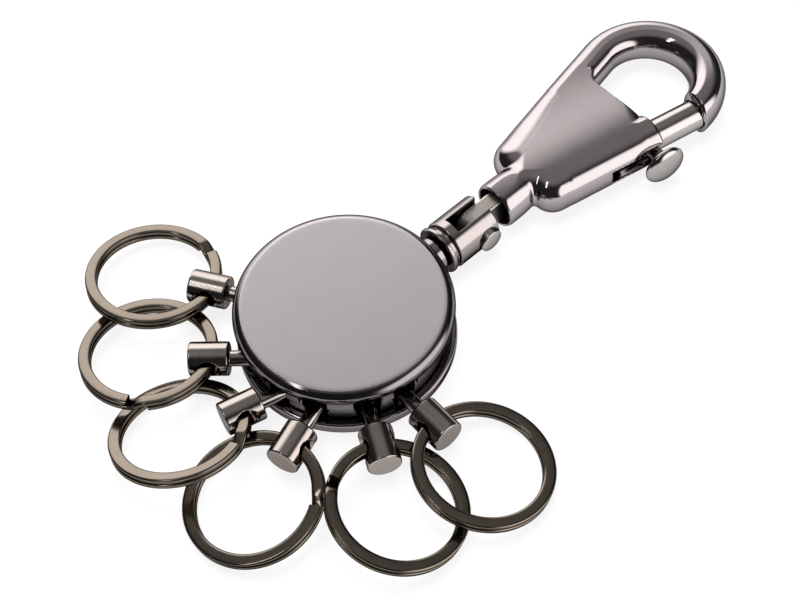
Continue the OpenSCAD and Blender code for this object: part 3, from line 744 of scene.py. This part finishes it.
# Clevis, its pin, and the tongue
neckline = {
    "axisHeight": 4.65, "radius": 4.6, "clevisStart": 21.5, "flangeEnd": 22.4, "grooveEnd": 23.3,
    "grooveRadius": 3.8, "clevisEnd": 32.5, "slotFloor": 25.2, "slotWidth": 3.5, "hinge": 30.0,
    "pinRadius": 1.1, "pinHeadRadius": 2.25, "pinHeadEdge": 0.3, "pinBevel": 0.2, "pinHeadTop": 5.5,
    "pinDome": 0.25, "studCavityStart": 22.6, "studCavityEnd": 24.4, "tongueThick": 3.1,
    "tongueHeight": 5.6, "shankRadius": 1.8, "shankHeadRadius": 3.0, "shankStart": 37.9,
    "shankHeadStart": 41.2, "shankHeadEnd": 43.0,
}


def makeClevis():
    d = neckline

    def field(x, y, z):
        flange = rodField(x, y, z, d["clevisStart"], d["flangeEnd"], d["radius"], 0.35)
        body = rodField(x, y, z, d["grooveEnd"], d["clevisEnd"], d["radius"], 0.4)
        core = rodField(x, y, z, d["clevisStart"] + 0.3, d["grooveEnd"] + 0.5, d["grooveRadius"])
        body = joinField(joinField(body, flange), core, 0.15)
        half = d["slotWidth"] / 2
        slot = boxField(x, y, z, (d["slotFloor"], -half, -9), (50, half, 9), 0.2)
        body = cutField(body, slot, 0.2)
        body = cutField(body, rodField(x, y, z, 10, d["studCavityStart"] + 0.2, 1.55), 0.1)
        body = cutField(body, rodField(x, y, z, d["studCavityStart"], d["studCavityEnd"], 2.9), 0.1)
        acrossPin = np.sqrt((x - d["hinge"]) ** 2 + z * z)
        seat = sqrt(d["radius"] ** 2 - d["pinHeadRadius"] ** 2)
        spot = np.maximum(acrossPin - d["pinHeadRadius"] - 0.05, seat + y)
        body = cutField(body, spot, 0.1)
        return cutField(body, acrossPin - d["pinRadius"], 0.08)

    mesh = fieldMesh("clevis", field, (21.1, -5, -5), (32.9, 5, 5), 0.16)
    place = Matrix.Translation((0, 0, d["axisHeight"]))
    addPiece("clevisFork", mesh, place, finish["clevis"], "clevis", ["clevis"])


def makeClevisPin():
    d = neckline
    r, top = d["pinHeadRadius"], d["pinHeadTop"]
    seat = sqrt(d["radius"] ** 2 - r ** 2)
    far = sqrt(d["radius"] ** 2 - d["pinRadius"] ** 2)
    shaft, bevel, edge = d["pinRadius"], d["pinBevel"], d["pinHeadEdge"]
    outline = [(0, -far), (shaft - bevel, -far), (shaft, -far + bevel), (shaft, seat), (r, seat)]
    outline += arcPoints(r - edge, top - d["pinDome"] - edge, edge, 0, 75, 15)
    outline += [(r * f, top - d["pinDome"] * f * f) for f in (0.8, 0.6, 0.4, 0.2, 0)]
    mesh = latheMesh("clevisPin", outline, segments=64, sharp=50)
    place = Matrix.Translation((d["hinge"], 0, d["axisHeight"])) @ Matrix.Rotation(radians(90), 4, "X")
    addPiece("clevisRivet", mesh, place, finish["bright"], "clevis", ["clevis_pin"])


def makeTongue():
    d = neckline

    def field(x, y, z):
        half = d["tongueHeight"] / 2
        nose = np.sqrt((x - d["hinge"]) ** 2 + z * z) - half
        bar = boxField(x, z, 0 * z, (d["hinge"], -half, -1), (d["shankStart"] + 0.4, half, 1))
        flat = meetField(joinField(nose, bar), np.abs(y) - d["tongueThick"] / 2, 0.35)
        shank = rodField(x, y, z, d["shankStart"] - 0.5, d["shankHeadEnd"], d["shankRadius"])
        head = rodField(x, y, z, d["shankHeadStart"], d["shankHeadEnd"], d["shankHeadRadius"], 0.3)
        shape = joinField(joinField(flat, shank, 0.4), head, 0.2)
        return cutField(shape, np.sqrt((x - d["hinge"]) ** 2 + z * z) - d["pinRadius"] - 0.05, 0.08)

    mesh = fieldMesh("tongue", field, (26.8, -3.4, -3.4), (43.4, 3.4, 3.4), 0.15)
    place = Matrix.Translation((0, 0, d["axisHeight"]))
    addPiece("hingeTongue", mesh, place, finish["tongue"], "tongue", ["tongue"])


makeClevis()
makeClevisPin()
makeTongue()
print("clevis and tongue made")

# The hook: a die casting with softly blended forms
hook = {
    "neck": 35.5, "axisHeight": 4.65, "thickHalf": 4.2, "sideAngle": 11.5,
    # collar
    "collarRadius": 4.4, "collarLength": 3.8, "collarEdge": 0.9, "collarDrop": 0.12, "collarBlend": 7.0,
    # web
    "shoulder": 10.5, "shoulderLeft": 4.03, "shoulderRight": -4.2, "webFront": 31.9, "webRun": 2.5,
    "leftRound": 5.0, "rightRound": 4.4, "leftRun": 14, "frontEdge": 0.5, "fadeRun": 9.0,
    "crown": 0.8, "crownRun": 12, "crease": 0.12, "blend": 2.5,
    # bar round the eye, and its nose
    "headX": 40.8, "headY": 0.6, "headRadius": 11.0, "barHalf": 3.4, "barRun": 4.0, "barBlend": 1.0,
    "barRise": 1.02, "fullness": 2.5, "noseEdge": 1.3, "noseSide": 9,
    # tube, its bore and slot
    "tubeRadius": 4.4, "tubeFront": 32.6, "boltY": -8.7, "tubeEdge": 2.6, "tubeFrontEdge": 1.4, "mouth": 8.3,
    "socket": 1.1, "boreRadius": 2.9, "boreBack": 22.3, "slotHalf": 1.6, "entryHalf": 2.1, "knobBack": 2.6,
    "travel": 8.2,
    # well and bore for the tongue's shank
    "wellRadius": 3.8, "wellDepth": 3.0, "shankBore": 1.85, "shankStep": 5.4, "shankHeadBore": 3.05,
    "shankEnd": 7.8, "cell": 0.22,
}


def boltFrame(x, y):
    # places along and across the bolt, from the tube's front end
    a = radians(hook["sideAngle"])
    dx, dy = x - hook["tubeFront"], y - hook["boltY"]
    return dx * cos(a) - dy * sin(a), dx * sin(a) + dy * cos(a)


def convexDistance(x, y, corners):
    # distance outside a convex outline given anticlockwise, less than zero inside
    inside = None
    nearest = None
    for (ax, ay), (bx, by) in zip(corners, corners[1:] + corners[:1]):
        ex, ey = bx - ax, by - ay
        length = sqrt(ex * ex + ey * ey)
        t = np.clip(((x - ax) * ex + (y - ay) * ey) / length ** 2, 0, 1)
        far = np.sqrt((x - ax - ex * t) ** 2 + (y - ay - ey * t) ** 2)
        side = ((x - ax) * ey - (y - ay) * ex) / length
        nearest = far if nearest is None else np.minimum(nearest, far)
        inside = side if inside is None else np.maximum(inside, side)
    return np.where(inside > 0, nearest, inside)


def past(value, limit, run):
    # share of a rounded end: nothing up to the limit, 1 after the run
    return np.maximum(0, value - limit) / run


def hookField(x, y, z):
    d = hook
    a = radians(d["sideAngle"])
    along, off = boltFrame(x, y)
    top = d["thickHalf"] - d["crown"] * (1 - np.exp(-(np.maximum(0, off) / d["crownRun"]) ** 2))
    # each form gives the square of its half height, so that they blend and share one flat top
    dx, dy = x - d["headX"], y - d["headY"]
    u = dx * cos(a) + dy * sin(a)
    v = -dx * sin(a) + dy * cos(a)
    runEnd = (d["headX"] - d["webFront"]) / cos(a) + d["barRun"]
    straight = np.sqrt((v - d["headRadius"]) ** 2 + np.maximum(0, -u - runEnd) ** 2)
    across = np.where((u < 0) & (v > 0), straight, np.abs(np.sqrt(dx * dx + dy * dy) - d["headRadius"]))
    nose = np.where(off < d["noseSide"], past(-along, -d["mouth"] - d["noseEdge"], d["noseEdge"]), 0)
    bar = top ** 2 * (d["barRise"] - (across / d["barHalf"]) ** d["fullness"] - nose ** 2)
    leftEndX = d["webFront"] + d["webRun"]
    leftEndY = d["shoulderLeft"] + (leftEndX - d["shoulder"]) * tan(a)
    rightEndX = d["tubeFront"] - d["leftRound"]
    rightEndY = d["boltY"] + d["leftRound"] * tan(a)
    corners = [(d["shoulder"], d["shoulderRight"]), (rightEndX, rightEndY), (leftEndX, leftEndY),
               (d["shoulder"], d["shoulderLeft"])]
    gap = convexDistance(x, y, corners)
    share = np.clip(off / d["leftRun"], 0, 1)
    reach = d["rightRound"] + (d["leftRound"] - d["rightRound"]) * share
    # the left edge tightens until it meets the bar's own roundness
    advance = np.clip((x - d["shoulder"]) / (d["webFront"] - d["fadeRun"] - d["shoulder"]), 0, 1)
    roundness = reach - (reach - d["barHalf"]) * advance * share
    inset = (gap - reach + roundness) / roundness
    # its front is sharp along the eye and fades out where it runs into the bar
    fade = np.clip((v - d["headRadius"] + d["barHalf"]) / d["barHalf"], 0, 1)
    frontRun = d["frontEdge"] + d["fadeRun"] * fade * fade * (3 - 2 * fade)
    front = past(x, d["webFront"] - d["frontEdge"], frontRun)
    web = top ** 2 * (1 - np.sign(inset) * np.abs(inset) ** d["fullness"] - front ** 2)
    tubeBack = -(d["tubeFront"] - d["shoulder"]) / cos(a)
    ends = past(along, -d["tubeFrontEdge"], d["tubeFrontEdge"]) ** 2
    ends = ends + past(-along, -tubeBack - d["tubeEdge"], d["tubeEdge"]) ** 2
    tube = d["tubeRadius"] ** 2 * (1 - ends) - off ** 2
    # the collar's lip is rounded, and behind its fullest part it draws in a little
    collarEnd = past(-x, -d["collarEdge"], d["collarEdge"])
    collarEnd = collarEnd + np.minimum(1, past(x, d["collarLength"] * 0.6, d["collarLength"]))
    collar = d["collarRadius"] ** 2 * (1 - d["collarDrop"] * collarEnd ** 2) - y ** 2
    collar = collar - 99 * np.maximum(0, x - d["shoulder"] - 2)
    square = -joinField(-web, -tube, d["blend"])
    square = -joinField(-square, -collar, d["collarBlend"])
    square = -joinField(-square, -bar, d["barBlend"])
    square = joinField(square, top ** 2, d["crease"])
    shape = (z * z - square) / (2 * d["thickHalf"])
    shape = np.maximum(shape, -x)
    bore = rodField(along, off, z, -d["boreBack"], d["mouth"] + d["socket"], d["boreRadius"])
    shape = cutField(shape, bore, 0.2)
    # the knob's slot, and its wider front end
    back, half, wide = -d["knobBack"], d["slotHalf"], d["entryHalf"]
    slotCut = bandField(along, z, back - d["travel"] - half, 0, -half, half)
    entry = bandField(along, z, back - wide, 3, -wide, wide)
    slotCut = np.maximum(np.minimum(slotCut, entry), off)
    shape = cutField(shape, slotCut, 0.15)
    shape = cutField(shape, rodField(x, y, z, -1, d["wellDepth"], d["wellRadius"]), 0.2)
    shape = cutField(shape, rodField(x, y, z, 0, d["shankStep"], d["shankBore"]), 0.1)
    return cutField(shape, rodField(x, y, z, d["shankStep"], d["shankEnd"], d["shankHeadBore"]))


def makeHook():
    d = hook
    mesh = fieldMesh("hookCasting", hookField, (-0.6, -14.6, -4.8), (56.2, 16.2, 4.8), d["cell"])
    place = Matrix.Translation((d["neck"], 0, d["axisHeight"]))
    addPiece("hookCasting", mesh, place, finish["hook"], "hook", ["hook_body"])


makeHook()
print("hook made")

# The sliding bolt and its thumb knob
bolt = {
    "radius": 2.85, "back": 9.5, "tip": 9.1, "tipBevel": 0.4, "backBevel": 0.25, "stemRadius": 1.5,
    "knobRadius": 4.0, "knobThick": 2.3, "knobOut": 5.9, "knobRim": 0.65,
}


def boltPlace():
    d = hook
    return (Matrix.Translation((d["neck"] + d["tubeFront"], d["boltY"], d["axisHeight"]))
            @ Matrix.Rotation(radians(-d["sideAngle"]), 4, "Z"))


def makeBolt():
    d = bolt
    r, back, tip, bevel = d["radius"], d["back"], d["tip"], d["tipBevel"]
    outline = [(0, -back), (r - d["backBevel"], -back), (r, -back + d["backBevel"])]
    outline += [(r, -back + 0.3), (r, tip - bevel)]
    outline += arcPoints(r - bevel, tip - bevel, bevel, 15, 90, 15)
    outline += [(0, tip)]
    mesh = latheMesh("slidingBolt", outline, axis="X", segments=96)
    addPiece("slidingBolt", mesh, boltPlace(), finish["bolt"], "bolt", ["spring_bolt"])


def makeKnob():
    d = bolt
    out, thick, r, stem, rim = d["knobOut"], d["knobThick"], d["knobRadius"], d["stemRadius"], d["knobRim"]
    outline = [(0, 0), (stem, 0), (stem, out - 0.3), (stem + 0.1, out - 0.08), (stem + 0.3, out)]
    outline += [(r - 0.8, out), (r - 0.45, out + 0.08), (r - 0.15, out + 0.3), (r, out + rim)]
    # the face is a low dome with a soft rim
    outline += [(r * cos(a), out + rim + (thick - rim) * sin(a) ** 0.9) for a in np.radians(range(10, 90, 8))]
    outline += [(0, out + thick)]
    mesh = latheMesh("thumbKnob", outline, segments=96, sharp=60)
    place = boltPlace() @ Matrix.Translation((-hook["knobBack"], 0, 0))
    place = place @ Matrix.Rotation(radians(90), 4, "X")
    addPiece("thumbKnob", mesh, place, finish["bright"], "bolt", ["bolt_knob"])


makeBolt()
makeKnob()
print("bolt made")


# Pieces that stay as built: they get their finish only
def dressNode(node, material):
    obj = frame["nodes"][node]
    mesh = obj.data
    points = np.zeros(len(mesh.vertices) * 3, np.float32)
    mesh.vertices.foreach_get("co", points)
    storePlace(mesh, points / mm)
    # records how far each corner faces up, for the finish's painted shade on lower sides
    storeShadeRise(mesh)
    mesh.materials.clear()
    mesh.materials.append(material)


for node, look in (("keeper_ring", "steel"), ("centre_rivet", "steel"), ("plate_spring", "wire"),
                   ("hook_stud", "steel"), ("bolt_spring", "wire")):
    dressNode(node, finish[look])
print("inner pieces dressed")
